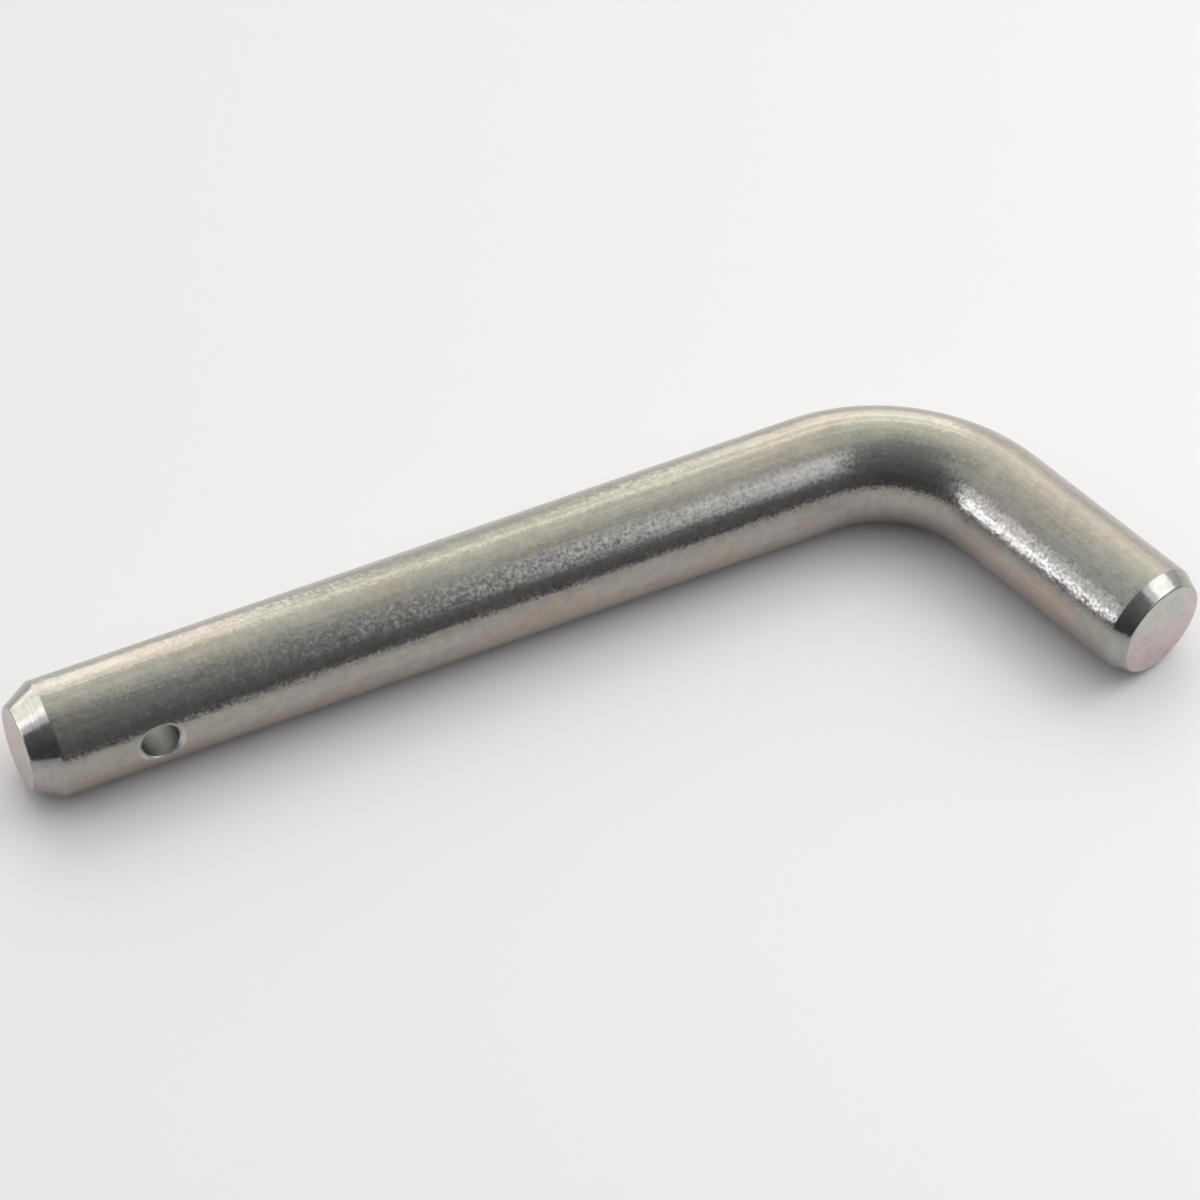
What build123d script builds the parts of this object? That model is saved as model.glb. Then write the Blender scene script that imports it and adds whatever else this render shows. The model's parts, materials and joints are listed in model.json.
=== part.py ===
"""Bent hitch pin: one round steel bar, tapered at its free end, bent into a handle and cross-drilled for a clip.

The pin lies flat, as it would on a bench, with the surface under it at z = 0. The shank runs along X with its
free end at -X, and the handle comes off the bend towards -Y. Lengths are in millimetres, angles in degrees.
"""

import os
from math import radians, tan

from build123d import *

# Bar stock
bar_diameter = 15.9

# Shank: the straight run that goes through the hitch, from the free end to the start of the bend
shank_length = 114.0
lead_taper_length = 3.8
lead_taper_depth = 2.2

# Bend: its turn is counted from straight, so a square handle would be 90
bend_inner_radius = 14.05
bend_turn = 71.0

# Handle: the straight run from the end of the bend to the tip
handle_length = 30.0
tip_chamfer_length = 2.5
tip_chamfer_depth = 1.1

# Round that tumbling and plating leave on the turned edges of both ends
end_edge_round = 0.3

# Clip hole: drilled across the shank, open on the handle's side, tilted up out of the plane of the bend
clip_hole_diameter = 5.2
clip_hole_setback = 17.2
clip_hole_tilt = 8.0
countersink_depth = 0.7
countersink_angle = 90.0

# How far a cutter stands proud of the bar that it cuts
cutter_overrun = 2.0

bar_radius = bar_diameter / 2
bend_radius = bend_inner_radius + bar_radius


def bar_path() -> Wire:
    """The bar's centre line: the shank, a tangent bend and the handle."""
    shank = Line((0, 0), (shank_length, 0))
    bend = JernArc(start=shank @ 1, tangent=shank % 1, radius=bend_radius, arc_size=-bend_turn)
    handle = PolarLine(start=bend @ 1, length=handle_length, direction=bend % 1)
    return Wire([shank, bend, handle])


def bent_bar(path: Wire) -> Solid:
    """The round section swept along the centre line."""
    section = Plane(origin=path @ 0, z_dir=path % 0) * Circle(bar_radius)
    return sweep(section, path=path).solid()


def turned_end(bar: Solid, end: Vector, taper_length: float, taper_depth: float) -> Solid:
    """The bar with a taper turned on the end that lies at a point, and both edges of the taper rounded over."""
    end_face = bar.faces().filter_by(GeomType.PLANE).sort_by_distance(end)[0]
    tapered = bar.chamfer(taper_depth, taper_length, end_face.edges(), end_face)
    taper_face = tapered.faces().filter_by(GeomType.CONE).sort_by_distance(end)[0]
    return tapered.fillet(end_edge_round, taper_face.edges().filter_by(GeomType.CIRCLE)).solid()


def clip_hole_cutter() -> Part:
    """A drill that passes right through the shank, with a countersink for the mouth on each side."""
    drill_radius = clip_hole_diameter / 2
    drill_length = bar_diameter + 2 * cutter_overrun
    sink_height = countersink_depth + cutter_overrun
    sink_radius = drill_radius + sink_height * tan(radians(countersink_angle / 2))
    sink_foot = bar_radius - countersink_depth
    drill = Cylinder(drill_radius, drill_length)
    sink = Pos(Z=sink_foot) * Cone(
        drill_radius, sink_radius, sink_height, align=(Align.CENTER, Align.CENTER, Align.MIN)
    )
    across_shank = Pos(X=clip_hole_setback) * Rot(X=-clip_hole_tilt) * Rot(X=90)
    return across_shank * (drill + sink + mirror(sink, about=Plane.XY))


def laid_flat(pin: Solid) -> Solid:
    """The pin with the middle of its footprint over the origin and its underside at z = 0."""
    extent = pin.bounding_box()
    middle = extent.center()
    return Pos(-middle.X, -middle.Y, -extent.min.Z) * pin


path = bar_path()
pin = bent_bar(path)
pin = turned_end(pin, path @ 0, lead_taper_length, lead_taper_depth)
pin = turned_end(pin, path @ 1, tip_chamfer_length, tip_chamfer_depth)
pin = (pin - clip_hole_cutter()).solid()
pin = laid_flat(pin)
pin.label = "hitch_pin"

os.makedirs("parts", exist_ok=True)
export_step(pin, "parts/hitch_pin.step")
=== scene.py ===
"""A zinc-plated bent hitch pin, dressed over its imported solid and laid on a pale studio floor.

The pin is made as a real one is. A straight bar is turned at both ends and drilled across for its clip,
which gives the blank, and a Geometry Nodes tree then bends the blank cold into its handle. The blank's own
coordinates stay on the mesh as an attribute, so that drawn lines follow the bar round the bend. Lengths are
in metres.
"""

import json
import logging
import math
from collections.abc import Sequence
from dataclasses import dataclass, field
from enum import Enum
from typing import Any

import bmesh
import bpy
from mathutils import Matrix, Vector


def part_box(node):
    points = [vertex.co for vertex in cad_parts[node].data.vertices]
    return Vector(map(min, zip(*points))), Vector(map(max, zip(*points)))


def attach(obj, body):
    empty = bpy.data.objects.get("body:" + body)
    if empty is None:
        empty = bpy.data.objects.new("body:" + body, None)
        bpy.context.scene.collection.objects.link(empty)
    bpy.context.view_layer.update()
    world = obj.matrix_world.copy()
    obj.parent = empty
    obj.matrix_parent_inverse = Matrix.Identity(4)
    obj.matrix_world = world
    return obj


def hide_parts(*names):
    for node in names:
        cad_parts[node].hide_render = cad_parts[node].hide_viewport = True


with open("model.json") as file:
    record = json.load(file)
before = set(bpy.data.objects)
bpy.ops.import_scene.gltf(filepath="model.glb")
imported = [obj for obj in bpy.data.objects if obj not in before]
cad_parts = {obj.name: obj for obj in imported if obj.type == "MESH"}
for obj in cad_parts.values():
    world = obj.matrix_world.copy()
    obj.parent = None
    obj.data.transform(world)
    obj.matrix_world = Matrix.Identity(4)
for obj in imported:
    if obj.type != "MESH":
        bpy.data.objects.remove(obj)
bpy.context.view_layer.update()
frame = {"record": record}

LOG = logging.getLogger("hitch_pin")

MM = 0.001
PIN_NODE = "hitch_pin"
BLANK_PLACE = "blank_place"
ZONE = "zone"

# What two lengths may differ by, as a share, and still count as the same.
ROUNDING_SHARE = 0.001

Colour = tuple[float, float, float, float]
Outline = list[Vector]


def linear(hex_colour: str) -> Colour:
    """Turn an sRGB hex colour into the linear colour that shaders and lamps take.

    Args:
        hex_colour: A number sign and six hex digits.

    Returns:
        Linear red, green and blue, and an alpha of one.
    """
    shares = [int(hex_colour[at:at + 2], 16) / 255 for at in (1, 3, 5)]
    red, green, blue = (s / 12.92 if s <= 0.04045 else ((s + 0.055) / 1.055) ** 2.4 for s in shares)
    return red, green, blue, 1.0


def add_node(
    tree: bpy.types.NodeTree,
    kind: str,
    settings: dict[str, Any] | None = None,
    inputs: dict[str | int, Any] | None = None,
) -> bpy.types.Node:
    """Add a node to a tree, with its settings, and set or link its inputs.

    Args:
        tree: The tree that takes the node.
        kind: Blender's name for the kind of node.
        settings: Properties of the node, by name.
        inputs: A value, or an output socket to link, for each input by its name or number.

    Returns:
        The new node.
    """
    node = tree.nodes.new(kind)
    for name, value in (settings or {}).items():
        setattr(node, name, value)
    for key, value in (inputs or {}).items():
        if isinstance(value, bpy.types.NodeSocket):
            tree.links.new(value, node.inputs[key])
        else:
            node.inputs[key].default_value = value
    return node


def set_stops(ramp: bpy.types.ColorRamp, stops: Sequence[tuple[float, str]]) -> None:
    """Give a new colour ramp its stops.

    Args:
        ramp: The ramp, which has its first and last stop already.
        stops: Each stop's position and its sRGB hex colour, in order.
    """
    for element, (position, colour) in zip(ramp.elements, (stops[0], stops[-1])):
        element.position, element.color = position, linear(colour)
    for position, colour in stops[1:-1]:
        ramp.elements.new(position).color = linear(colour)


def spaced(start: float, end: float, step: float) -> list[float]:
    """Divide a run evenly.

    Args:
        start: Where the run starts, which isn't in the result.
        end: Where the run ends, which is.
        step: The longest division.

    Returns:
        The places that divide the run, with its end.
    """
    count = max(1, math.ceil(abs(end - start) / step))
    return [start + (end - start) * at / count for at in range(1, count + 1)]


def rounded_corner(before: Vector, corner: Vector, after: Vector, radius: float, steps: int) -> Outline:
    """Round one corner of a flat outline with an arc that is tangent to both of its sides.

    Args:
        before: The outline's point before the corner.
        corner: The corner itself.
        after: The point after it.
        radius: The arc's radius.
        steps: How many straight pieces make the arc.

    Returns:
        The arc's points, from the first side to the second.
    """
    back = (before - corner).normalized()
    ahead = (after - corner).normalized()
    half_angle = back.angle(ahead) / 2
    centre = corner + (back + ahead).normalized() * radius / math.sin(half_angle)
    first = (corner + back * radius / math.tan(half_angle) - centre).normalized()
    last = (corner + ahead * radius / math.tan(half_angle) - centre).normalized()
    return [centre + first.slerp(last, at / steps) * radius for at in range(steps + 1)]


def smooth_minimum(first: float, second: float, width: float) -> float:
    """Give the smaller of two heights, blended over a width where they cross."""
    overlap = max(width - abs(first - second), 0.0) / width
    return min(first, second) - overlap * overlap * width / 4


class Zone(Enum):
    """How a part of the bar's surface was made, which shows through the plate on it in its marks. The faced
    ends and the hole also get lighter plate colours, which are painted light.
    """

    DRAWN = 0
    TURNED = 1
    FACED = 2
    DRILLED = 3


# A ring round the bar: its distance from the free end, and its point numbers, or None where the hole cuts it.
Ring = tuple[float, list[int | None]]
# A step along an outline: the two lengths that place it, and the zone of the band that leads up to it.
Step = tuple[float, float, Zone]


@dataclass(frozen=True)
class Mount:
    """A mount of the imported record, in the row's frame."""

    place: Vector
    axis: Vector
    radius: float
    length: float

    @classmethod
    def named(cls, name: str) -> "Mount":
        """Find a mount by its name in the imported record.

        Args:
            name: The mount's name.

        Returns:
            The mount, with its sizes in metres.
        """
        row = next(row for row in frame["record"]["mounts"] if row["name"] == name)
        sizes = row["dims"]
        return cls(Vector(row["pos_m"]), Vector(row["axis"]), sizes["r_mm"] * MM, sizes["length_mm"] * MM)


class Skin:
    """A closed surface as it is put together: its points, its faces and the zone of each face."""

    def __init__(self) -> None:
        """Start with nothing."""
        self.points: list[Vector] = []
        self.faces: list[tuple[int, ...]] = []
        self.zones: list[int] = []

    def point(self, place: Vector) -> int:
        """Add a point and give its number."""
        self.points.append(place)
        return len(self.points) - 1

    def face(self, corners: Sequence[int], zone: Zone) -> None:
        """Add a face of one zone."""
        self.faces.append(tuple(corners))
        self.zones.append(zone.value)

    def band(self, first: Sequence[int | None], second: Sequence[int | None], zone: Zone) -> None:
        """Join two closed rings by a band of faces, left open where a ring has no point.

        Args:
            first: The point numbers of one ring, with None where it is cut away.
            second: Those of the next ring, as many as in the first.
            zone: The zone of the band.
        """
        for at in range(len(first)):
            after = (at + 1) % len(first)
            corners = (first[at], second[at], second[after], first[after])
            if None not in corners:
                self.face(corners, zone)

    def cap(self, hub: Vector, ring: Sequence[int], zone: Zone) -> None:
        """Close a ring with a fan of faces about a hub.

        Args:
            hub: The middle of the fan.
            ring: The point numbers of the ring.
            zone: The zone of the fan.
        """
        middle = self.point(hub)
        for at in range(len(ring)):
            self.face((middle, ring[at], ring[(at + 1) % len(ring)]), zone)

    def mesh(self, name: str) -> bpy.types.Mesh:
        """Make the mesh, with every face turned outwards.

        Args:
            name: The mesh's name.

        Returns:
            The mesh, with each face's zone in an attribute.
        """
        mesh = bpy.data.meshes.new(name)
        mesh.from_pydata(self.points, [], self.faces)
        mesh.attributes.new(ZONE, "INT", "FACE").data.foreach_set("value", self.zones)
        loose = bmesh.new()
        loose.from_mesh(mesh)
        bmesh.ops.recalc_face_normals(loose, faces=loose.faces)
        loose.to_mesh(mesh)
        loose.free()
        return mesh


@dataclass
class PinBlank:
    """The straight bar before it is bent, along X from the middle of its free end's face.

    The rings of its mesh run round the bar. Round each mouth of the clip hole they give way to rings that run
    round the hole, from the bar's surface over the rim and the countersink, down to the middle of the bore.
    """

    bar_radius: float
    shank_length: float
    bend_length: float
    hole_setback: float
    hole_radius: float
    hole_axis: Vector
    handle_length: float = 30.0 * MM
    lead_taper_length: float = 3.8 * MM
    lead_taper_depth: float = 2.2 * MM
    tip_chamfer_length: float = 2.5 * MM
    tip_chamfer_depth: float = 1.1 * MM
    end_edge_round: float = 0.3 * MM
    countersink_depth: float = 0.7 * MM
    rim_round_width: float = 0.25 * MM
    rim_room_share: float = 0.9
    rim_search_steps: int = 50
    bore_edge_round: float = 0.2 * MM
    columns: int = 96
    mouth_columns: int = 12
    arc_steps: int = 4
    row_step: float = 1.0 * MM
    bend_row_step: float = 0.45 * MM
    face_ring_shares: tuple[float, ...] = (0.25, 0.5, 0.75, 0.94)
    approach_shares: tuple[float, ...] = (0.22, 0.42, 0.6, 0.76, 0.9)
    rim_shares: tuple[float, ...] = (1.0, 0.66, 0.33, 0.0, -0.33, -0.66, -1.0)

    @property
    def length(self) -> float:
        """The developed length of the bar, measured along its centre line."""
        return self.shank_length + self.bend_length + self.handle_length

    @property
    def across(self) -> Vector:
        """The direction across both the bar and the hole."""
        return self.hole_axis.cross(Vector((1, 0, 0)))

    @property
    def mouth_reach(self) -> float:
        """Half the width of the square of surface that the rings about the hole take up."""
        return self.bar_radius * math.sin(self.mouth_columns * math.tau / self.columns)

    @property
    def mouth_step(self) -> float:
        """How far apart the rings are that meet that square."""
        return self.mouth_reach / self.mouth_columns * (1 + ROUNDING_SHARE)

    def ring_point(self, along: float, radius: float, column: int) -> Vector:
        """Place a point on a ring round the bar.

        Args:
            along: The ring's distance from the free end.
            radius: The ring's radius.
            column: The point's number round the bar, from the side that the hole's axis points to.

        Returns:
            The point.
        """
        turn = column * math.tau / self.columns
        outward = self.hole_axis * math.cos(turn) + self.across * math.sin(turn)
        return Vector((along, 0, 0)) + outward * radius

    def corners(self) -> Outline:
        """Place the corners of the turned outline.

        Returns:
            Each corner's distance along the bar and its radius.
        """
        lead_radius = self.bar_radius - self.lead_taper_depth
        tip_radius = self.bar_radius - self.tip_chamfer_depth
        return [
            Vector((0, 0)),
            Vector((0, lead_radius)),
            Vector((self.lead_taper_length, self.bar_radius)),
            Vector((self.length - self.tip_chamfer_length, self.bar_radius)),
            Vector((self.length, tip_radius)),
            Vector((self.length, 0)),
        ]

    def bar_rows(self, start: float, end: float) -> list[float]:
        """Place the rings on the plain bar, closer together over the hole's mouths and round the bend.

        Args:
            start: Where the lead taper ends.
            end: Where the tip's chamfer starts.

        Returns:
            The rings' distances from the free end.
        """
        mouth_start = self.hole_setback - self.mouth_reach
        mouth_end = self.hole_setback + self.mouth_reach
        bend_end = self.shank_length + self.bend_length
        return [
            *spaced(start, mouth_start, self.row_step),
            *spaced(mouth_start, mouth_end, self.mouth_step),
            *spaced(mouth_end, self.shank_length, self.row_step),
            *spaced(self.shank_length, bend_end, self.bend_row_step),
            *spaced(bend_end, end, self.row_step)[:-1],
        ]

    def stations(self) -> list[Step]:
        """Follow the turned outline from face to face.

        Returns:
            For each ring its distance along the bar, its radius and its zone.
        """
        corners = self.corners()
        arcs = [
            rounded_corner(*corners[at - 1:at + 2], self.end_edge_round, self.arc_steps)
            for at in range(1, len(corners) - 1)
        ]
        lead_edge, lead_shoulder, tip_shoulder, tip_edge = arcs
        taper = [lead_edge[-1].lerp(lead_shoulder[0], share) for share in self.face_ring_shares]
        chamfer = [tip_shoulder[-1].lerp(tip_edge[0], share) for share in self.face_ring_shares]
        rows = self.bar_rows(lead_shoulder[-1].x, tip_shoulder[0].x)
        found = [(0.0, lead_edge[0].y * share, Zone.FACED) for share in self.face_ring_shares]
        found += [(lead_edge[0].x, lead_edge[0].y, Zone.FACED)]
        found += [(*place, Zone.TURNED) for place in (*lead_edge[1:], *taper, *lead_shoulder)]
        found += [(row, self.bar_radius, Zone.DRAWN) for row in rows]
        found += [(*tip_shoulder[0], Zone.DRAWN)]
        found += [(*place, Zone.TURNED) for place in (*tip_shoulder[1:], *chamfer, *tip_edge)]
        inwards = reversed(self.face_ring_shares)
        return found + [(self.length, tip_edge[-1].y * share, Zone.FACED) for share in inwards]

    def in_mouth(self, along: float, column: int) -> bool:
        """Tell whether a ring's point lies inside the square that the rings about the hole take up.

        Args:
            along: The ring's distance from the free end.
            column: The point's number round the bar.

        Returns:
            Whether it does, on either side of the bar.
        """
        half_turn = self.columns // 2
        off_axis = abs((column + self.mouth_columns) % half_turn - self.mouth_columns)
        reach = self.mouth_reach * (1 - ROUNDING_SHARE)
        return off_axis < self.mouth_columns and abs(along - self.hole_setback) < reach

    def rim_radius(self, turn: float) -> float:
        """Find where the countersink meets the bar's surface.

        Args:
            turn: The direction about the hole's axis, from the bar's own direction.

        Returns:
            The rim's distance from the hole's axis.
        """
        near, far = self.hole_radius, self.hole_radius + 2 * self.countersink_depth
        for _ in range(self.rim_search_steps):
            middle = (near + far) / 2
            if self.bar_height(middle, turn) > self.sink_height(middle):
                near = middle
            else:
                far = middle
        return near

    def bar_height(self, distance: float, turn: float) -> float:
        """The bar's surface above its axis, at a distance from the hole's axis in one direction."""
        return math.sqrt(self.bar_radius ** 2 - (distance * math.sin(turn)) ** 2)

    def sink_height(self, distance: float) -> float:
        """The countersink's surface above the bar's axis, at a distance from the hole's axis."""
        return self.bar_radius - self.countersink_depth + distance - self.hole_radius

    def mouth_profile(self, start: float, turn: float) -> list[Step]:
        """Follow the surface into the hole's mouth, in one direction about its axis.

        Args:
            start: The distance from the hole's axis where the profile starts, on the bar.
            turn: The direction about the hole's axis, from the bar's own direction.

        Returns:
            For each ring its distance from the hole's axis, its height above the bar's axis and its zone,
            down to the last ring before the middle of the bore.
        """
        rim = self.rim_radius(turn)
        bore_edge_reach = self.bore_edge_round * (1 - math.cos(math.pi / 4))
        sink_end = self.hole_radius + bore_edge_reach
        width = min(self.rim_round_width, self.rim_room_share * (rim - sink_end))
        wall_top = self.bar_radius - self.countersink_depth - self.bore_edge_round * math.tan(math.pi / 8)
        wall_rows = spaced(wall_top, 0, self.row_step)[:-1]

        found = []
        for share in self.approach_shares:
            distance = start + (rim + width - start) * share
            found.append((distance, self.bar_height(distance, turn), Zone.DRAWN))
        for share in self.rim_shares:
            distance = rim + width * share
            height = smooth_minimum(self.bar_height(distance, turn), self.sink_height(distance), width)
            found.append((distance, height, Zone.DRAWN if share >= 0 else Zone.DRILLED))
        for at in range(self.arc_steps + 1):
            lean = math.pi / 4 * (1 - at / self.arc_steps)
            distance = self.hole_radius + self.bore_edge_round * (1 - math.cos(lean))
            height = wall_top + self.bore_edge_round * math.sin(lean)
            found.append((distance, height, Zone.DRILLED))
        return found + [(self.hole_radius, height, Zone.DRILLED) for height in wall_rows]

    def mouth_edge(self, rings: list[Ring], side: int) -> list[tuple[float, float, int]]:
        """Collect the points of the bar's rings that edge one mouth's square.

        Args:
            rings: The rings round the bar.
            side: 1 for the mouth that the hole's axis points to, or -1 for the other.

        Returns:
            Each point's direction about the hole's axis, its distance from that axis and its number, in turn.
        """
        reach = self.mouth_reach * (1 + ROUNDING_SHARE)
        first = 0 if side > 0 else self.columns // 2
        found = []
        for along, ring in rings:
            offset = along - self.hole_setback
            if abs(offset) > reach:
                continue
            for step in range(-self.mouth_columns, self.mouth_columns + 1):
                number = ring[(first + side * step) % self.columns]
                if number is not None:
                    aside = self.bar_radius * math.sin(step * math.tau / self.columns)
                    found.append((math.atan2(aside, offset), math.hypot(offset, aside), number))
        return sorted(found)

    def drill(self, skin: Skin, rings: list[Ring]) -> None:
        """Add the clip hole, from each of its mouths to the middle of its bore.

        Args:
            skin: The surface that the hole goes into.
            rings: The rings round the bar.
        """
        middle: list[int] = []
        for side in (1, -1):
            edge = self.mouth_edge(rings, side)
            profiles = [self.mouth_profile(start, turn) for turn, start, _ in edge]
            ring = [number for _, _, number in edge]
            for level in zip(*profiles):
                following = [
                    skin.point(self.hole_point(distance, turn, side * height))
                    for (turn, _, _), (distance, height, _) in zip(edge, level)
                ]
                skin.band(ring, following, level[0][2])
                ring = following
            if not middle:
                middle = [skin.point(self.hole_point(self.hole_radius, turn, 0)) for turn, _, _ in edge]
            skin.band(ring, middle, Zone.DRILLED)

    def hole_point(self, distance: float, turn: float, height: float) -> Vector:
        """Place a point by its distance from the hole's axis, its direction about that and its height."""
        along = Vector((self.hole_setback + distance * math.cos(turn), 0, 0))
        return along + self.across * distance * math.sin(turn) + self.hole_axis * height

    def mesh(self) -> bpy.types.Mesh:
        """Build the blank.

        Returns:
            The closed mesh of the straight bar.
        """
        skin = Skin()
        rings: list[Ring] = []
        for along, radius, zone in self.stations():
            ring = [
                None
                if self.in_mouth(along, column)
                else skin.point(self.ring_point(along, radius, column))
                for column in range(self.columns)
            ]
            if rings:
                skin.band(rings[-1][1], ring, zone)
            rings.append((along, ring))
        skin.cap(Vector((0, 0, 0)), rings[0][1], Zone.FACED)
        skin.cap(Vector((self.length, 0, 0)), rings[-1][1], Zone.FACED)
        self.drill(skin, rings)
        return skin.mesh("pin_blank")


# The bend as sums, in the order that they are worked out: a result, an operation, and what it works on. The
# bar is measured along itself, outward from the bend's middle, and up. Its section thins most at the middle
# of the bend, and not at all where the bend meets the straight runs.
BEND_SUMS: tuple[tuple[str, str, tuple[str | float, ...]], ...] = (
    ("past_start", "SUBTRACT", ("along", "Bend Start")),
    ("turned", "DIVIDE", ("past_start", "Bend Radius")),
    ("turned_forward", "MAXIMUM", ("turned", 0.0)),
    ("angle", "MINIMUM", ("turned_forward", "Bend Turn")),
    ("sine", "SINE", ("angle",)),
    ("cosine", "COSINE", ("angle",)),
    ("before_bend", "MINIMUM", ("along", "Bend Start")),
    ("bend_length", "MULTIPLY", ("Bend Turn", "Bend Radius")),
    ("past_end", "SUBTRACT", ("past_start", "bend_length")),
    ("after_bend", "MAXIMUM", ("past_end", 0.0)),
    ("turn_share", "DIVIDE", ("angle", "Bend Turn")),
    ("half_wave", "MULTIPLY", ("turn_share", math.pi)),
    ("wave", "SINE", ("half_wave",)),
    ("wave_squared", "MULTIPLY", ("wave", "wave")),
    ("thinning", "MULTIPLY", ("wave_squared", "Thinning Share")),
    ("kept_share", "SUBTRACT", (1.0, "thinning")),
    ("thinned", "MULTIPLY", ("outward", "kept_share")),
    ("reach", "ADD", ("Bend Radius", "thinned")),
    ("handle_x", "MULTIPLY_ADD", ("after_bend", "cosine", "before_bend")),
    ("bent_x", "MULTIPLY_ADD", ("reach", "sine", "handle_x")),
    ("handle_y", "MULTIPLY_ADD", ("after_bend", "sine", "Bend Radius")),
    ("reach_y", "MULTIPLY", ("reach", "cosine")),
    ("bent_y", "SUBTRACT", ("reach_y", "handle_y")),
)


@dataclass
class ColdBend:
    """The press that bends the blank: it wraps the bar round a former, which thins the section a little."""

    start: float
    radius: float = 22.0 * MM
    turn: float = math.radians(71.0)
    thinning_share: float = 0.03

    @property
    def length(self) -> float:
        """How much of the bar's length the bend takes up, on its centre line."""
        return self.radius * self.turn

    @property
    def sizes(self) -> dict[str, float]:
        """The tree's inputs that are plain numbers, by name."""
        return {
            "Bend Start": self.start,
            "Bend Radius": self.radius,
            "Bend Turn": self.turn,
            "Thinning Share": self.thinning_share,
        }

    def tree(self, finishes: dict[Zone, bpy.types.Material]) -> bpy.types.GeometryNodeTree:
        """Build the Geometry Nodes tree that bends the bar, moves it to its place and plates it.

        Args:
            finishes: The material of each zone.

        Returns:
            The tree, with its sizes as named inputs.
        """
        tree = bpy.data.node_groups.new("cold_bend", "GeometryNodeTree")
        tree.is_modifier = True
        tree.interface.new_socket("Geometry", in_out="INPUT", socket_type="NodeSocketGeometry")
        for name in self.sizes:
            tree.interface.new_socket(name, in_out="INPUT", socket_type="NodeSocketFloat")
        tree.interface.new_socket("Free End", in_out="INPUT", socket_type="NodeSocketVector")
        tree.interface.new_socket("Geometry", in_out="OUTPUT", socket_type="NodeSocketGeometry")
        given = add_node(tree, "NodeGroupInput").outputs
        place = add_node(tree, "GeometryNodeInputPosition").outputs[0]
        kept = add_node(
            tree,
            "GeometryNodeStoreNamedAttribute",
            {"data_type": "FLOAT_VECTOR", "domain": "POINT"},
            {"Geometry": given["Geometry"], "Name": BLANK_PLACE, "Value": place},
        )
        bent = self.bent_place(tree, given, place)
        laid = add_node(
            tree,
            "GeometryNodeSetPosition",
            None,
            {"Geometry": kept.outputs[0], "Position": bent, "Offset": given["Free End"]},
        )
        smooth = add_node(tree, "GeometryNodeSetShadeSmooth", None, {"Geometry": laid.outputs[0]})
        whole = add_node(tree, "GeometryNodeRealizeInstances", None, {"Geometry": smooth.outputs[0]})
        plated = self.plated(tree, whole.outputs[0], finishes)
        add_node(tree, "NodeGroupOutput", None, {"Geometry": plated})
        return tree

    def bent_place(
        self, tree: bpy.types.NodeTree, given: bpy.types.NodeOutputs, place: bpy.types.NodeSocket
    ) -> bpy.types.NodeSocket:
        """Work out where the bend takes each point of the bar.

        Args:
            tree: The tree that bends the bar.
            given: The tree's inputs, by name.
            place: The point's place on the straight bar.

        Returns:
            Its place on the bent bar.
        """
        along, outward, up = add_node(tree, "ShaderNodeSeparateXYZ", None, {0: place}).outputs
        terms: dict[str, bpy.types.NodeSocket] = {"along": along, "outward": outward}
        terms.update({name: given[name] for name in self.sizes})
        for result, operation, works_on in BEND_SUMS:
            inputs = {at: terms.get(term, term) for at, term in enumerate(works_on)}
            terms[result] = add_node(tree, "ShaderNodeMath", {"operation": operation}, inputs).outputs[0]
        bent = {"X": terms["bent_x"], "Y": terms["bent_y"], "Z": up}
        return add_node(tree, "ShaderNodeCombineXYZ", None, bent).outputs[0]

    def plated(
        self,
        tree: bpy.types.NodeTree,
        shape: bpy.types.NodeSocket,
        finishes: dict[Zone, bpy.types.Material],
    ) -> bpy.types.NodeSocket:
        """Give each zone of the bar its finish.

        Args:
            tree: The tree that bends the bar.
            shape: The bent bar.
            finishes: The material of each zone.

        Returns:
            The plated bar.
        """
        marked = add_node(tree, "GeometryNodeInputNamedAttribute", {"data_type": "INT"}, {"Name": ZONE})
        zone = marked.outputs["Attribute"]
        same = {"data_type": "INT", "operation": "EQUAL"}
        for kind, finish in finishes.items():
            chosen = add_node(tree, "FunctionNodeCompare", same, {2: zone, 3: kind.value}).outputs[0]
            dressed = add_node(
                tree,
                "GeometryNodeSetMaterial",
                None,
                {"Geometry": shape, "Selection": chosen, "Material": finish},
            )
            shape = dressed.outputs[0]
        return shape

    def apply(
        self, piece: bpy.types.Object, free_end: Vector, finishes: dict[Zone, bpy.types.Material]
    ) -> None:
        """Bend a blank and leave it a plain mesh.

        Args:
            piece: The blank's object.
            free_end: Where the middle of the free end's face goes, in the row's frame.
            finishes: The material of each zone.
        """
        tree = self.tree(finishes)
        press = piece.modifiers.new("cold_bend", "NODES")
        press.node_group = tree
        sizes = {**self.sizes, "Free End": free_end}
        for socket in tree.interface.items_tree:
            if socket.in_out == "INPUT" and socket.name in sizes:
                press[socket.identifier] = sizes[socket.name]
        evaluated = piece.evaluated_get(bpy.context.evaluated_depsgraph_get())
        bent = bpy.data.meshes.new_from_object(evaluated)
        blank = piece.data
        piece.modifiers.remove(press)
        piece.data = bent
        bpy.data.meshes.remove(blank)


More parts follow.
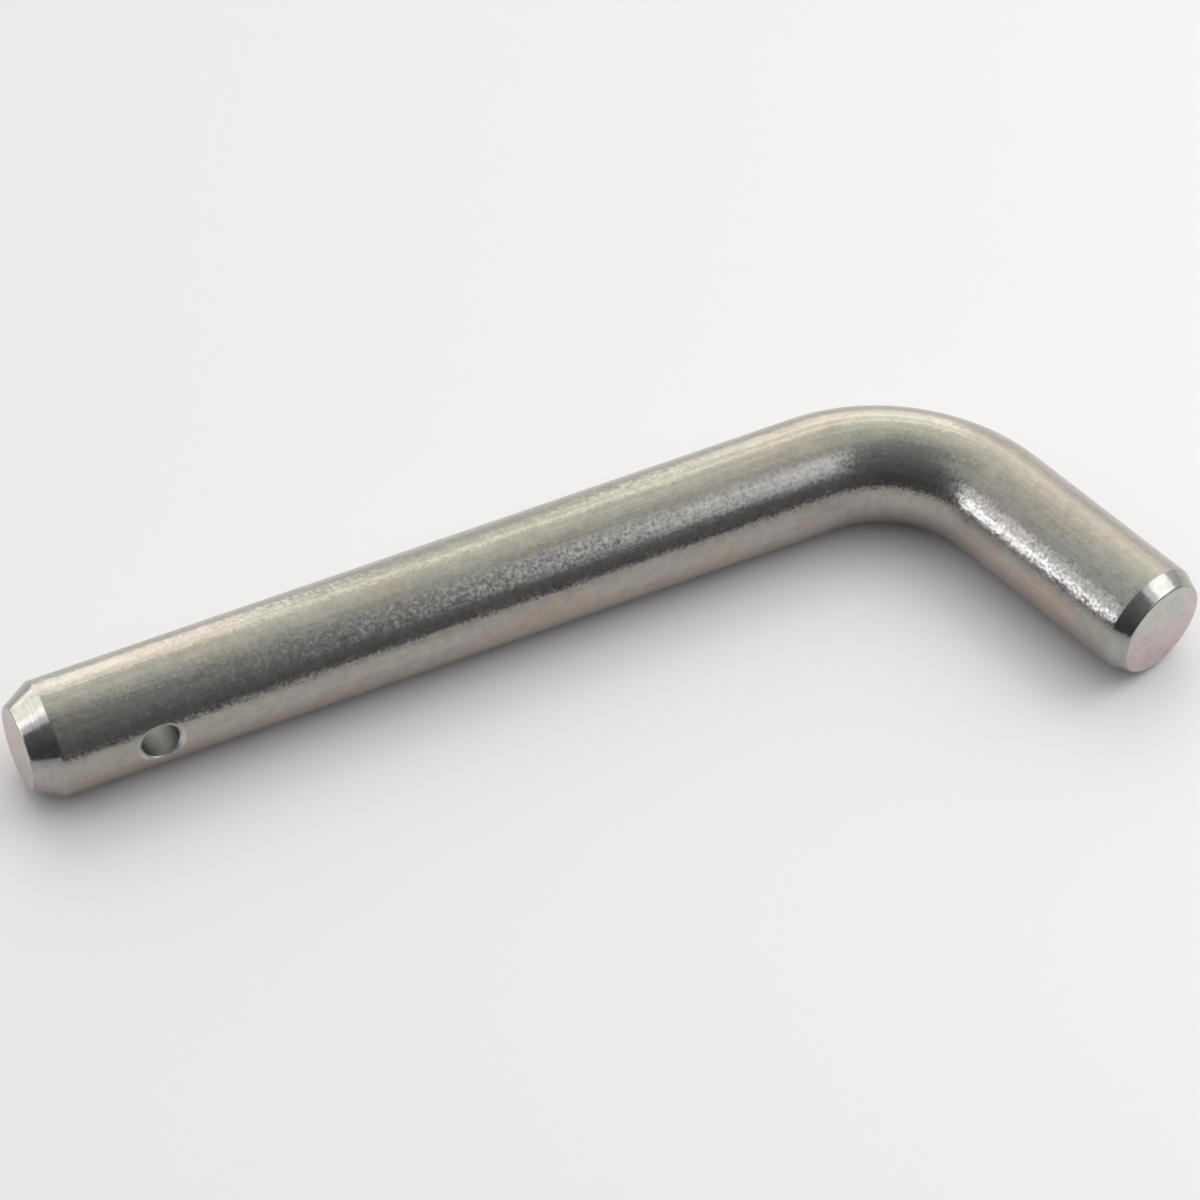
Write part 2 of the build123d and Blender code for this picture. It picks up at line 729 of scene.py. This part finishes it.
@dataclass(frozen=True)
class ZincPlate:
    """Bright zinc plate with a clear to pale yellow passivation, over steel that keeps its maker's marks.

    The plate is thin, so it follows what is under it: drawn lines along the bar, turned or drilled rings at
    its ends and in its hole. It mirrors what stands round it, softened and mottled by its grain. Its tint
    drifts at random through brown, pink, silver, straw and traces of green, and a painted reflection runs
    over it by height: pink and brown underneath, where the bar mirrors the floor, to straw and green on top.
    """

    name: str
    mark_sizes_mm: tuple[float, float, float]
    mark_depth_mm: float
    roughness: float
    roughness_swing: float = 0.12
    # The ramp is read by height as well as at random, so its pinker, browner first stops give the underside a
    # painted reflection of the floor.
    tints: tuple[str, ...] = ("#B2A69B", "#AEAAA4", "#B0ACA2", "#AEAEA5")
    tint_patch_sizes_mm: tuple[float, float, float] = (20.0, 9.0, 9.0)
    tint_span: tuple[float, float] = (0.46, 0.78)
    # Painted reflection: how fast, per millimetre of height, the tint runs from the floor's pink and brown
    # underneath to straw on top.
    painted_reflection_rise_per_mm: float = 0.033
    cloud_mm: float = 1.7
    dull_span: tuple[float, float] = (0.7, 1.15)
    dullest_share: float = 0.8
    fleck_mm: float = 0.5
    fleck_tilt: float = 0.23
    ripple_sizes_mm: tuple[float, float, float] = (9.0, 2.0, 2.0)
    ripple_depth_mm: float = 0.035
    grain_mm: float = 0.9
    grain_span: tuple[float, float] = (0.3, 0.7)
    grain_depth_mm: float = 0.01

    def material(self) -> bpy.types.Material:
        """Build the plate's material, on the blank's own coordinates.

        Returns:
            The material.
        """
        material = bpy.data.materials.new(self.name)
        material.use_nodes = True
        tree = material.node_tree
        tree.nodes.clear()
        place = add_node(tree, "ShaderNodeAttribute", {"attribute_name": BLANK_PLACE}).outputs["Vector"]
        # Fine marks of the tool or the die, long one way and narrow the other. Real ones are a few hundredths
        # of a millimetre wide, too fine to show, so they are drawn coarser.
        marks = self.pattern(tree, place, self.mark_sizes_mm, detail=4.0, roughness=0.65)
        grain = self.pattern(tree, place, [self.grain_mm] * 3, detail=3.0, roughness=0.6)
        rough = add_node(
            tree,
            "ShaderNodeMapRange",
            None,
            {
                "Value": grain.outputs[0],
                "From Min": self.grain_span[0],
                "From Max": self.grain_span[1],
                "To Min": self.roughness - self.roughness_swing / 2,
                "To Max": self.roughness + self.roughness_swing / 2,
            },
        )
        shader = add_node(
            tree,
            "ShaderNodeBsdfPrincipled",
            None,
            {
                "Base Color": self.colour(tree, place, marks),
                "Metallic": 1.0,
                "Roughness": rough.outputs[0],
                "Normal": self.normal(tree, place, marks, grain),
            },
        )
        add_node(tree, "ShaderNodeOutputMaterial", None, {"Surface": shader.outputs[0]})
        return material

    def pattern(
        self,
        tree: bpy.types.NodeTree,
        place: bpy.types.NodeSocket,
        sizes_mm: Sequence[float],
        detail: float,
        roughness: float,
    ) -> bpy.types.Node:
        """Lay an uneven pattern of a real size over the bar.

        Args:
            tree: The material's tree.
            place: The point's place on the blank.
            sizes_mm: The pattern's size along the bar, outward and up.
            detail: How many finer layers the pattern has.
            roughness: How much each finer layer counts.

        Returns:
            The pattern, as a height and as a colour.
        """
        scale = [1 / (size * MM) for size in sizes_mm]
        fitted = add_node(tree, "ShaderNodeMapping", None, {"Vector": place, "Scale": scale})
        inputs = {"Vector": fitted.outputs[0], "Scale": 1.0, "Detail": detail, "Roughness": roughness}
        return add_node(tree, "ShaderNodeTexNoise", None, inputs)

    def colour(
        self, tree: bpy.types.NodeTree, place: bpy.types.NodeSocket, marks: bpy.types.Node
    ) -> bpy.types.NodeSocket:
        """Tint the plate, and dull it.

        Args:
            tree: The material's tree.
            place: The point's place on the blank.
            marks: The marks of the tool or the die.

        Returns:
            The plate's colour.
        """
        # The passivation's colour drifts slowly over the bar. Over that drift, a painted reflection runs by
        # height, from pink and brown on the underside, which stands for the floor mirrored there, to straw
        # and green on top.
        drift = self.pattern(tree, place, self.tint_patch_sizes_mm, detail=3.0, roughness=0.6)
        up = add_node(tree, "ShaderNodeSeparateXYZ", None, {0: place}).outputs["Z"]
        # Painted reflection: the height, added to the random drift, picks the tint from the ramp.
        tint = add_node(
            tree,
            "ShaderNodeMath",
            {"operation": "MULTIPLY_ADD"},
            {0: up, 1: self.painted_reflection_rise_per_mm / MM, 2: drift.outputs[0]},
        )
        hues = add_node(tree, "ShaderNodeValToRGB", None, {"Fac": tint.outputs[0]})
        first, last = self.tint_span
        gap = (last - first) / (len(self.tints) - 1)
        set_stops(hues.color_ramp, [(first + gap * at, hue) for at, hue in enumerate(self.tints)])

        # The plate is duller in small clouds, and along the marks.
        clouds = self.pattern(tree, place, [self.cloud_mm] * 3, detail=3.0, roughness=0.6)
        dull_places = add_node(
            tree, "ShaderNodeMath", {"operation": "ADD"}, {0: clouds.outputs[0], 1: marks.outputs[0]}
        )
        dulling = add_node(
            tree,
            "ShaderNodeMapRange",
            None,
            {
                "Value": dull_places.outputs[0],
                "From Min": self.dull_span[0],
                "From Max": self.dull_span[1],
                "To Min": self.dullest_share,
                "To Max": 1.0,
            },
        )
        colour = add_node(
            tree,
            "ShaderNodeMix",
            {"data_type": "RGBA", "blend_type": "MULTIPLY"},
            {0: 1.0, 6: hues.outputs[0], 7: dulling.outputs[0]},
        )
        return colour.outputs[2]

    def normal(
        self,
        tree: bpy.types.NodeTree,
        place: bpy.types.NodeSocket,
        marks: bpy.types.Node,
        grain: bpy.types.Node,
    ) -> bpy.types.NodeSocket:
        """Make the plate's surface uneven.

        Args:
            tree: The material's tree.
            place: The point's place on the blank.
            marks: The marks of the tool or the die.
            grain: The plate's grain.

        Returns:
            The direction that the surface faces.
        """
        # The zinc's crystals lean a little, each its own way, so that the plate sparkles in soft flecks. Real
        # crystals are too fine to show, so the flecks are drawn coarser.
        flecks = self.pattern(tree, place, [self.fleck_mm] * 3, detail=2.0, roughness=0.6)
        tilt = add_node(
            tree,
            "ShaderNodeVectorMath",
            {"operation": "MULTIPLY_ADD"},
            {0: flecks.outputs["Color"], 1: [self.fleck_tilt] * 3, 2: [-self.fleck_tilt / 2] * 3},
        )
        straight = add_node(tree, "ShaderNodeNewGeometry").outputs["Normal"]
        both = {0: straight, 1: tilt.outputs[0]}
        tilted = add_node(tree, "ShaderNodeVectorMath", {"operation": "ADD"}, both).outputs[0]
        uneven = add_node(tree, "ShaderNodeVectorMath", {"operation": "NORMALIZE"}, {0: tilted}).outputs[0]
        # Slow ripples of a drawn and plated surface break up the edges of what it mirrors.
        ripple = self.pattern(tree, place, self.ripple_sizes_mm, detail=2.0, roughness=0.5)
        for height, depth_mm in (
            (ripple, self.ripple_depth_mm),
            (grain, self.grain_depth_mm),
            (marks, self.mark_depth_mm),
        ):
            uneven = add_node(
                tree,
                "ShaderNodeBump",
                None,
                {"Height": height.outputs[0], "Distance": depth_mm * MM, "Strength": 1.0, "Normal": uneven},
            ).outputs[0]
        return uneven


DRAWN_PLATE = ZincPlate("zinc_plate_on_drawn_bar", (40.0, 0.6, 0.6), 0.02, 0.2)
TURNED_PLATE = ZincPlate(
    "zinc_plate_on_turned_steel",
    (0.3, 6.0, 6.0),
    0.003,
    0.16,
    tints=("#B6A9A4", "#B0AEAB", "#B1AEA8", "#AEAFAA"),
    fleck_tilt=0.07,
)
# Painted light: the end faces get a lighter, pinker copy of the plate, which stands for the floor's pink
# reflection and the lamp light that they catch.
FACED_PLATE = ZincPlate(
    "faced_end_plate_painted_lighter",
    (3.0, 0.5, 0.5),
    0.004,
    0.36,
    tints=("#CFC0BF", "#CBC3C2", "#CBC6BC", "#C5C6C1"),
)
# Painted light: the hole gets a much lighter, almost untinted copy of the plate, which lifts the shade inside
# the bore.
DRILLED_PLATE = ZincPlate(
    "drilled_hole_plate_painted_lighter",
    (4.0, 0.3, 4.0),
    0.003,
    0.36,
    tints=("#D4D4D3", "#D2D6D5", "#D2D6D2", "#D0D7D4"),
    fleck_tilt=0.07,
    ripple_depth_mm=0.01,
    grain_depth_mm=0.006,
)


@dataclass
class HitchPin:
    """The whole pin: a turned and drilled blank, bent cold and plated."""

    shank: Mount = field(default_factory=lambda: Mount.named("shank"))
    clip_hole: Mount = field(default_factory=lambda: Mount.named("clip_hole"))
    node: str = PIN_NODE
    slot: str = "zinc_plated_steel"

    def build(self) -> bpy.types.Object:
        """Make the pin in its place.

        Returns:
            The finished pin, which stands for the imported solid.
        """
        lowest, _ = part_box(self.node)
        free_end = Vector((lowest.x, self.shank.place.y, self.shank.place.z))
        bend_start = self.shank.place.x + self.shank.length / 2 - lowest.x
        bend = ColdBend(bend_start)
        blank = PinBlank(
            bar_radius=self.shank.radius,
            shank_length=bend_start,
            bend_length=bend.length,
            hole_setback=self.clip_hole.place.x - lowest.x,
            hole_radius=self.clip_hole.radius,
            hole_axis=self.clip_hole.axis.normalized(),
        )
        finishes = self.finishes()
        piece = bpy.data.objects.new("plated_pin", blank.mesh())
        piece.data.materials.append(finishes[Zone.DRAWN])
        bpy.context.scene.collection.objects.link(piece)
        bend.apply(piece, free_end, finishes)
        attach(piece, "root")
        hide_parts(self.node)
        return piece

    def finishes(self) -> dict[Zone, bpy.types.Material]:
        """The plate's material on each zone of the bar."""
        return {
            Zone.DRAWN: DRAWN_PLATE.material(),
            Zone.TURNED: TURNED_PLATE.material(),
            Zone.FACED: FACED_PLATE.material(),
            Zone.DRILLED: DRILLED_PLATE.material(),
        }


@dataclass(frozen=True)
class SatinPaint:
    """Satin pale paint on the studio's floor: it scatters light evenly, with a soft gloss at low angles."""

    name: str = "satin_pale_paint"
    colour: str = "#FAFAFA"
    roughness: float = 0.3

    def material(self) -> bpy.types.Material:
        """Build the paint's material.

        Returns:
            The material.
        """
        material = bpy.data.materials.new(self.name)
        material.use_nodes = True
        tree = material.node_tree
        tree.nodes.clear()
        shader = add_node(
            tree,
            "ShaderNodeBsdfPrincipled",
            None,
            {"Base Color": linear(self.colour), "Roughness": self.roughness},
        )
        add_node(tree, "ShaderNodeOutputMaterial", None, {"Surface": shader.outputs[0]})
        return material


@dataclass
class StudioFloor:
    """A wide flat floor under the pin."""

    half_width: float = 8.0
    paint: SatinPaint = SatinPaint()

    def build(self) -> bpy.types.Object:
        """Lay the floor.

        Returns:
            The floor.
        """
        far = self.half_width
        mesh = bpy.data.meshes.new("studio_floor")
        mesh.from_pydata([(-far, -far, 0), (far, -far, 0), (far, far, 0), (-far, far, 0)], [], [(0, 1, 2, 3)])
        mesh.materials.append(self.paint.material())
        floor = bpy.data.objects.new("studio_floor", mesh)
        bpy.context.scene.collection.objects.link(floor)
        return floor


def towards(azimuth_deg: float, elevation_deg: float) -> Vector:
    """Give the direction of a place round the pin.

    Args:
        azimuth_deg: Degrees from +Y, which is away from the handle, towards +X.
        elevation_deg: Degrees above the floor.

    Returns:
        The direction, one unit long.
    """
    azimuth, elevation = math.radians(azimuth_deg), math.radians(elevation_deg)
    level = math.cos(elevation)
    return Vector((math.sin(azimuth) * level, math.cos(azimuth) * level, math.sin(elevation)))


class Spot(Enum):
    """The places on the pin that lamps are hung for, each of which mirrors its own part of the studio."""

    FREE_END = "free end"
    MIDDLE = "middle of the shank"
    BEND = "start of the bend"
    TIP = "tip of the handle"

    @property
    def place(self) -> Vector:
        """Find the spot on the bar's centre line.

        Returns:
            Its place in the row's frame.
        """
        shank = Mount.named("shank")
        lowest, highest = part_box(PIN_NODE)
        tip = Vector((highest.x - shank.radius, lowest.y + shank.radius, shank.place.z))
        half_shank = shank.axis * shank.length / 2
        return {
            Spot.FREE_END: shank.place + half_shank,
            Spot.MIDDLE: shank.place,
            Spot.BEND: shank.place - half_shank,
            Spot.TIP: tip,
        }[self]


class Lit(Enum):
    """What a lamp is let to light: a lamp that stands low would leave a hard patch of light on the floor."""

    ALL = "pin and floor"
    PIN = "pin"
    FLOOR = "floor"


@dataclass
class SoftLamp:
    """A flat soft lamp, placed by the direction in which a spot of the pin sees it.

    A grid in front of the lamp narrows its light, and leaves its middle as bright as it is.
    """

    name: str
    spot: Spot
    azimuth_deg: float
    elevation_deg: float
    distance: float
    width: float
    height: float
    brightness: float
    colour: str = "#FFFFFF"
    aside: float = 0.0
    grid_deg: float = 110.0
    lights: Lit = Lit.ALL

    @property
    def energy(self) -> float:
        """Work out the power that gives the lamp its brightness, seen straight on through its grid.

        Returns:
            The power in watts.
        """
        half_grid = math.radians(self.grid_deg) / 2
        passed_share = 1 - half_grid / math.tan(half_grid)
        return math.pi * self.width * self.height * self.brightness * passed_share

    def build(self, targets: dict[Lit, bpy.types.Object]) -> bpy.types.Object:
        """Hang the lamp.

        Args:
            targets: What a lamp lights where it doesn't light all.

        Returns:
            The lamp's object.
        """
        light = bpy.data.lights.new(self.name, "AREA")
        light.shape = "RECTANGLE"
        light.size, light.size_y = self.width, self.height
        light.spread = math.radians(self.grid_deg)
        light.color = linear(self.colour)[:3]
        light.energy = self.energy
        lamp = bpy.data.objects.new(self.name, light)
        away = towards(self.azimuth_deg, self.elevation_deg)
        lamp.location = self.spot.place + away * self.distance + Vector((self.aside, 0, 0))
        lamp.rotation_euler = away.to_track_quat("Z", "Y").to_euler()
        lamp.visible_camera = False
        if self.lights in targets:
            lit = bpy.data.collections.new(f"lit_by_{self.name}")
            lit.objects.link(targets[self.lights])
            lamp.light_linking.receiver_collection = lit
        bpy.context.scene.collection.objects.link(lamp)
        return lamp


@dataclass
class StudioRoom:
    """The room's own light: bright on the far side of the pin, grey overhead and dark on the near side."""

    glow: Vector = field(default_factory=lambda: towards(40.0, 35.0))
    strength: float = 1.25
    tones: tuple[tuple[float, str], ...] = (
        (0.0, "#3D3D41"),
        (0.23, "#4C4B4F"),
        (0.46, "#6D6C71"),
        (0.70, "#87898C"),
        (0.76, "#949597"),
        (0.845, "#BCBBB9"),
        (0.915, "#DAD8D4"),
        (1.0, "#FAF6EE"),
    )

    def build(self) -> bpy.types.World:
        """Light the room.

        Returns:
            The world that surrounds the pin.
        """
        world = bpy.data.worlds.new("studio_room")
        world.use_nodes = True
        tree = world.node_tree
        tree.nodes.clear()
        way = add_node(tree, "ShaderNodeTexCoord").outputs["Generated"]
        facing = add_node(tree, "ShaderNodeVectorMath", {"operation": "DOT_PRODUCT"}, {0: way, 1: self.glow})
        share = add_node(
            tree,
            "ShaderNodeMapRange",
            None,
            {"Value": facing.outputs["Value"], "From Min": -1.0, "From Max": 1.0},
        )
        tone = add_node(tree, "ShaderNodeValToRGB", None, {"Fac": share.outputs[0]})
        set_stops(tone.color_ramp, self.tones)
        background = add_node(
            tree, "ShaderNodeBackground", None, {"Color": tone.outputs[0], "Strength": self.strength}
        )
        add_node(tree, "ShaderNodeOutputWorld", None, {"Surface": background.outputs[0]})
        bpy.context.scene.world = world
        return world


@dataclass
class PhotoCamera:
    """A long lens that looks down on the pin from the handle's side, as the photograph does."""

    azimuth_deg: float = -24.546
    elevation_deg: float = 50.471
    roll_deg: float = 0.239
    distance: float = 894.59 * MM
    aim: Vector = field(default_factory=lambda: Vector((3.009, 9.247, 9.579)) * MM)
    focal_length_mm: float = 203.64
    sensor_mm: float = 36.0

    def build(self) -> bpy.types.Object:
        """Set up the camera.

        Returns:
            The camera's object, which is the scene's camera.
        """
        azimuth, elevation, roll = (
            math.radians(a) for a in (self.azimuth_deg, self.elevation_deg, self.roll_deg)
        )
        level = math.cos(elevation)
        back = Vector((math.sin(azimuth) * level, -math.cos(azimuth) * level, math.sin(elevation)))
        flat_right = Vector((math.cos(azimuth), math.sin(azimuth), 0))
        flat_up = back.cross(flat_right)
        right = flat_right * math.cos(roll) + flat_up * math.sin(roll)
        up = flat_up * math.cos(roll) - flat_right * math.sin(roll)
        lens = bpy.data.cameras.new("photo_camera")
        lens.sensor_width = self.sensor_mm
        lens.lens = self.focal_length_mm
        camera = bpy.data.objects.new("photo_camera", lens)
        turn = Matrix((right, up, back)).transposed().to_4x4()
        camera.matrix_world = Matrix.Translation(self.aim + back * self.distance) @ turn
        bpy.context.scene.collection.objects.link(camera)
        bpy.context.scene.camera = camera
        return camera


LAMPS = (
    SoftLamp(
        "far_strip", Spot.MIDDLE, azimuth_deg=15.0, elevation_deg=36.0, distance=1.2,
        width=0.8, height=0.2, brightness=0.85, colour="#FFF8EC",
    ),
    SoftLamp(
        "far_left_window", Spot.FREE_END, azimuth_deg=-43.0, elevation_deg=24.0, distance=0.36,
        width=0.31, height=0.33, brightness=1.8, colour="#FFFBF4", lights=Lit.PIN,
    ),
    SoftLamp(
        "far_middle_window", Spot.FREE_END, azimuth_deg=-3.0, elevation_deg=14.0, distance=0.36,
        width=0.27, height=0.2, brightness=1.7, colour="#FFF3ED", lights=Lit.PIN,
    ),
    SoftLamp(
        "far_right_window", Spot.BEND, azimuth_deg=25.5, elevation_deg=13.0, distance=0.4,
        width=0.18, height=0.2, brightness=1.05, colour="#FFF8EC", lights=Lit.PIN,
    ),
    SoftLamp(
        "far_side_panel", Spot.TIP, azimuth_deg=44.0, elevation_deg=20.0, distance=0.5,
        width=0.25, height=0.31, brightness=0.34, colour="#FFF2F2",
    ),
    SoftLamp(
        "left_strip", Spot.TIP, azimuth_deg=-72.5, elevation_deg=14.5, distance=0.55,
        width=0.24, height=0.16, brightness=3.6, colour="#F0F3FF", lights=Lit.PIN,
    ),
    SoftLamp(
        "left_strip_glow", Spot.TIP, azimuth_deg=-74.0, elevation_deg=32.0, distance=0.55,
        width=0.22, height=0.17, brightness=0.95, colour="#F4F6FF",
    ),
    SoftLamp(
        "left_panel", Spot.TIP, azimuth_deg=-48.0, elevation_deg=50.0, distance=0.7,
        width=0.6, height=0.5, brightness=0.38,
    ),
    SoftLamp(
        "right_lamp", Spot.TIP, azimuth_deg=97.0, elevation_deg=46.0, distance=0.6,
        width=0.42, height=0.4, brightness=1.85,
    ),
    SoftLamp(
        "floor_fill", Spot.MIDDLE, azimuth_deg=0.0, elevation_deg=90.0, distance=1.6,
        width=3.0, height=3.0, brightness=0.32, grid_deg=180.0, lights=Lit.FLOOR,
    ),
    SoftLamp(
        "near_fill", Spot.MIDDLE, azimuth_deg=180.0, elevation_deg=58.5, distance=0.45,
        width=0.18, height=0.26, brightness=0.72, colour="#F0F2FB", aside=0.247,
    ),
    SoftLamp(
        "near_fill_halo", Spot.MIDDLE, azimuth_deg=180.0, elevation_deg=58.5, distance=0.46,
        width=0.31, height=0.42, brightness=0.58, colour="#F0F2FB", aside=0.282,
    ),
)


def main() -> None:
    """Build the pin and the studio round it."""
    logging.basicConfig(level=logging.INFO, format="%(name)s: %(message)s")
    bpy.context.scene.view_settings.view_transform = "Standard"
    pin = HitchPin().build()
    LOG.info("%s: %d faces", pin.name, len(pin.data.polygons))
    floor = StudioFloor().build()
    LOG.info("%s: stage", floor.name)
    for lamp in LAMPS:
        LOG.info("%s: lamp", lamp.build({Lit.PIN: pin, Lit.FLOOR: floor}).name)
    LOG.info("%s: world", StudioRoom().build().name)
    LOG.info("%s: camera", PhotoCamera().build().name)


if __name__ == "__main__":
    main()
